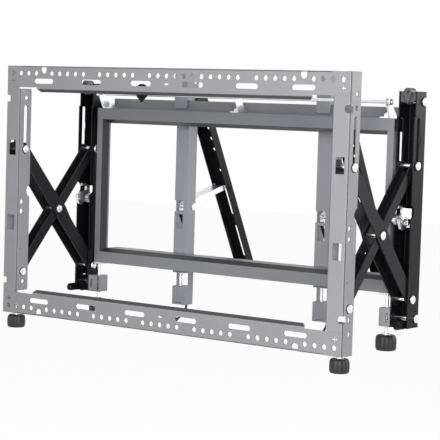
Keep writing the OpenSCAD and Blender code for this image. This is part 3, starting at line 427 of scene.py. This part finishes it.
def knob_grip(x, y, top, radius, height):
    """A scalloped knob with a soft rim, a domed waist and a dished underside."""
    columns = FLUTES * 14
    rows = [  # drop from the top, size of the rim, share of the scallops
        (0.000, 0.40, 0.0), (0.000, 0.72, 0.0), (0.015, 0.80, 0.15), (0.060, 0.885, 0.6),
        (0.120, 0.940, 1.0), (0.200, 0.975, 1.0), (0.350, 0.995, 1.0), (0.550, 1.000, 1.0),
        (0.750, 0.990, 1.0), (0.880, 0.965, 1.0), (0.950, 0.920, 0.8), (0.985, 0.860, 0.4),
        (1.000, 0.780, 0.0), (1.000, 0.560, 0.0), (0.980, 0.545, 0.0), (0.915, 0.530, 0.0),
        (0.910, 0.040, 0.0)]
    verts = []
    for drop, size, scallop in rows:
        for column in range(columns):
            angle = 2 * math.pi * column / columns
            wave = (0.5 + 0.5 * math.cos(FLUTES * angle)) ** 1.6
            r = radius * (size - 0.06 * scallop * wave)
            verts.append((x + r * math.cos(angle), y + r * math.sin(angle), top - drop * height))
    faces = [tuple(reversed(face)) for face in ring_faces(len(rows), columns)]
    faces.append(tuple(range(columns)))
    faces.append(tuple(reversed(range((len(rows) - 1) * columns, len(rows) * columns))))
    return verts, faces


def dress_knobs():
    """Each knob gets a scalloped grip, a zinc collar and a threaded screw."""
    for place, height in KNOB_HEIGHTS.items():
        for side in SIDES:
            name = "%s_%s_knob" % (place, side)
            low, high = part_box(name)
            x, y = (low[0] + high[0]) / 2, (low[1] + high[1]) / 2
            top, radius = low[2] + height, (high[0] - low[0]) / 2
            body = body_of_node(name)
            grip = add_piece(name + "_grip", *knob_grip(x, y, top, radius, height), PLASTIC,
                             body, "black_plastic", 50.0)
            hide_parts(name)

            def upright_lathe(along, u, v, x=x, y=y):
                return (x + u, y + v, along)

            collar_r = radius * 0.42
            ring = lathe([(top - 0.001, collar_r * 0.95), (top + 0.0004, collar_r),
                          (top + 0.0024, collar_r), (top + 0.003, collar_r * 0.94)], upright_lathe)
            screw = threaded_rod(x, y, top + 0.0028, high[2], SCREW_R, SCREW_PITCH)
            add_piece(name + "_screw", *joined(ring, screw), ZINC_PIN, body, "zinc", 60.0)


def dress_height_screws():
    for side in SIDES:
        name = "%s_height_screw" % side
        low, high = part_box(name)
        x, y = (low[0] + high[0]) / 2, (low[1] + high[1]) / 2
        rod = threaded_rod(x, y, low[2], high[2], SCREW_R, SCREW_PITCH)
        screw = add_piece(name + "_threaded", *rod, ZINC_PIN, body_of_node(name), "zinc", 60.0)
        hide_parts(name)


# Release levers

def swept_tube(points, radii, columns):
    """A tube through points in a YZ plane, with a radius at each."""
    verts = []
    for i, point in enumerate(points):
        ahead = points[min(i + 1, len(points) - 1)] - points[max(i - 1, 0)]
        across = Vector((1.0, 0.0, 0.0))
        normal = ahead.normalized().cross(across)
        for column in range(columns):
            angle = 2 * math.pi * column / columns
            verts.append(point + radii[i] * (math.cos(angle) * across + math.sin(angle) * normal))
    faces = ring_faces(len(points), columns)
    faces.append(tuple(reversed(range(columns))))
    faces.append(tuple(range((len(points) - 1) * columns, len(points) * columns)))
    return [tuple(v) for v in verts], faces


def smooth_path(corners, steps):
    """A Catmull-Rom curve through the corners."""
    ends = [2 * corners[0] - corners[1], *corners, 2 * corners[-1] - corners[-2]]
    path = []
    for i in range(1, len(ends) - 2):
        a, b, c, d = ends[i - 1:i + 3]
        for step in range(steps):
            t = step / steps
            path.append(0.5 * (2 * b + (c - a) * t + (2 * a - 5 * b + 4 * c - d) * t * t
                               + (3 * b - a - 3 * c + d) * t ** 3))
    path.append(corners[-1])
    return path


def dress_levers():
    """Each lever is a smooth bent rod on a cross bar, with a sleeve over its end."""
    rod_r = 2.0 * MM
    bends = [(0.0, 0.0), (1.0, -10.0), (-6.0, -20.0), (-20.0, -29.0), (-34.0, -34.0)]
    lever_x = 4.0 * MM
    for side in SIDES:
        name = "%s_release_lever" % side
        low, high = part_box(name)
        middle_x = (low[0] + high[0]) / 2
        root = Vector((middle_x + lever_x, high[1] - 3.15 * MM, high[2] - 2.15 * MM))
        corners = [root + Vector((0.0, y * MM, z * MM)) for y, z in bends]
        path = smooth_path(corners, 8)
        rod = swept_tube(path, [rod_r] * len(path), 20)

        def bar_lathe(along, u, v, root=root):
            return (along, root.y + u, root.z + v)

        bar = lathe([(low[0], rod_r * 0.8), (low[0] + 0.0004, rod_r), (high[0] - 0.0004, rod_r),
                     (high[0], rod_r * 0.8)], bar_lathe)
        body = body_of_node(name)
        lever = add_piece(name + "_rod", *joined(rod, bar), CHANNEL_COAT, body, "black_steel", 50.0)
        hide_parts(name)
        tip, heel = corners[-1], corners[-2]
        along = (tip - heel).normalized()
        stations = [(-0.010, 2.2), (-0.0098, 3.0), (-0.008, 3.4), (-0.004, 3.2), (0.001, 3.4),
                    (0.004, 3.3), (0.0052, 2.6), (0.0056, 1.2)]
        sleeve = swept_tube([tip + along * s for s, _ in stations],
                            [r * MM for _, r in stations], 24)
        add_piece(name + "_sleeve", *sleeve, RUBBER, body, "black_plastic", 50.0)


# Small fasteners

def domed_rivet(centre, radius, height, normal):
    """A low round rivet head that stands on a surface with that normal."""
    up = Vector(normal)
    side = up.orthogonal().normalized()
    other = up.cross(side)
    profile = [(0.0, radius), (height * 0.35, radius), (height * 0.75, radius * 0.8),
               (height * 0.97, radius * 0.45), (height, radius * 0.05)]

    def place(along, u, v):
        return tuple(Vector(centre) + up * along + side * u + other * v)

    return lathe(profile, place)


def dress_latches():
    """Two pairs of rivets hold each latch's jaw on its base."""
    for side in SIDES:
        low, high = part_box("%s_latch_jaw" % side)
        middle = (low[0] + high[0]) / 2
        base_low, base_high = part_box("%s_latch_base" % side)
        face_y = base_low[1]
        rivets = []
        for x in (middle - 11.0 * MM, middle + 11.0 * MM):
            for z in (base_low[2] + 5.0 * MM, base_high[2] - 5.0 * MM):
                rivets.append(domed_rivet((x, face_y, z), 1.9 * MM, 1.0 * MM, (0.0, -1.0, 0.0)))
        add_piece("%s_latch_rivets" % side, *joined(*rivets), ZINC_PIN,
                  body_of_node("%s_latch_base" % side), "zinc")


# Stage

FLOOR_Z = -0.95
FLOOR_REACH = 12.0
FLOOR_GLOW = 0.95  # under 1, so that the mount's shadow still shows
WORLD_ON_OBJECT = 0.09
WORLD_TO_CAMERA = 1.0


def seen_ray(tree):
    """1 for camera, glossy and transmission rays, 0 for the rest."""
    path = tree.nodes.new("ShaderNodeLightPath")
    total = path.outputs["Is Camera Ray"]
    for kind in ("Is Glossy Ray", "Is Transmission Ray"):
        either = tree.nodes.new("ShaderNodeMath")
        either.operation = "MAXIMUM"
        tree.links.new(total, either.inputs[0])
        tree.links.new(path.outputs[kind], either.inputs[1])
        total = either.outputs["Value"]
    return total


def add_floor():
    """A pale floor well below the mount, white to the camera but for the mount's shadow."""
    floor_z, reach = FLOOR_Z, FLOOR_REACH
    mesh = bpy.data.meshes.new("floor")
    corners = [(-reach, -reach, floor_z), (reach, -reach, floor_z),
               (reach, reach, floor_z), (-reach, reach, floor_z)]
    mesh.from_pydata(corners, [], [(0, 1, 2, 3)])
    floor = bpy.data.objects.new("floor", mesh)
    bpy.context.scene.collection.objects.link(floor)
    material = bpy.data.materials.new("pale_floor")
    material.use_nodes = True
    tree = material.node_tree
    bsdf = tree.nodes["Principled BSDF"]
    bsdf.inputs["Base Color"].default_value = (0.25, 0.25, 0.25, 1.0)
    bsdf.inputs["Roughness"].default_value = 1.0
    bsdf.inputs["Specular IOR Level"].default_value = 0.0
    bsdf.inputs["Emission Color"].default_value = (1.0, 1.0, 1.0, 1.0)
    glow = tree.nodes.new("ShaderNodeMapRange")
    glow.inputs["To Max"].default_value = FLOOR_GLOW
    tree.links.new(seen_ray(tree), glow.inputs["Value"])
    tree.links.new(glow.outputs["Result"], bsdf.inputs["Emission Strength"])
    mesh.materials.append(material)


def add_world():
    """White to the camera and to gloss, much softer as light on the object."""
    world = bpy.data.worlds.new("studio")
    bpy.context.scene.world = world
    world.use_nodes = True
    tree = world.node_tree
    back = tree.nodes["Background"]
    back.inputs["Color"].default_value = (1.0, 1.0, 1.0, 1.0)
    level = tree.nodes.new("ShaderNodeMapRange")
    level.inputs["To Min"].default_value = WORLD_ON_OBJECT
    level.inputs["To Max"].default_value = WORLD_TO_CAMERA
    tree.links.new(seen_ray(tree), level.inputs["Value"])
    tree.links.new(level.outputs["Result"], back.inputs["Strength"])


def add_area_light(name, place, aim, size, power):
    data = bpy.data.lights.new(name, "AREA")
    data.shape = "RECTANGLE"
    data.size, data.size_y = size
    data.energy = power
    lamp = bpy.data.objects.new(name, data)
    direction = Vector(aim) - Vector(place)
    lamp.matrix_world = (Matrix.Translation(Vector(place))
                         @ direction.to_track_quat("-Z", "Y").to_matrix().to_4x4())
    bpy.context.scene.collection.objects.link(lamp)


def add_lights():
    add_area_light("key", (1.30, -1.45, 0.35), (0.2, 0.0, 0.0), (1.4, 1.2), 34.0)
    add_area_light("sheen", (-0.75, -2.30, 0.40), (0.1, 0.0, 0.0), (1.0, 1.0), 7.6)
    add_area_light("rim", (1.45, 2.10, 0.62), (0.3, 0.1, 0.05), (1.0, 0.8), 16.0)


def add_camera():
    """The photograph's view: from the wall side, right of centre, a little above."""
    yaw, pitch, roll = 0.6428, 0.0703, 0.0305
    target = Vector((0.11604, 0.0, -0.02262))
    distance = 2.64635
    focal_px, frame_px = 1693.74, 440.0
    forward = Vector((-math.sin(yaw) * math.cos(pitch), math.cos(yaw) * math.cos(pitch),
                      -math.sin(pitch)))
    level = Vector((math.cos(yaw), math.sin(yaw), 0.0))
    upward = level.cross(forward)
    right = math.cos(roll) * level + math.sin(roll) * upward
    top = math.cos(roll) * upward - math.sin(roll) * level
    data = bpy.data.cameras.new("camera")
    data.sensor_width = 36.0
    data.lens = focal_px / frame_px * data.sensor_width
    data.clip_end = 60.0
    camera = bpy.data.objects.new("camera", data)
    turn = Matrix((right, top, -forward)).transposed().to_4x4()
    camera.matrix_world = Matrix.Translation(target - distance * forward) @ turn
    bpy.context.scene.collection.objects.link(camera)
    bpy.context.scene.camera = camera


coat_cad_nodes()
dress_pins()
dress_knobs()
dress_height_screws()
dress_levers()
dress_latches()
add_floor()
add_world()
add_lights()
add_camera()
bpy.context.scene.view_settings.view_transform = "Standard"
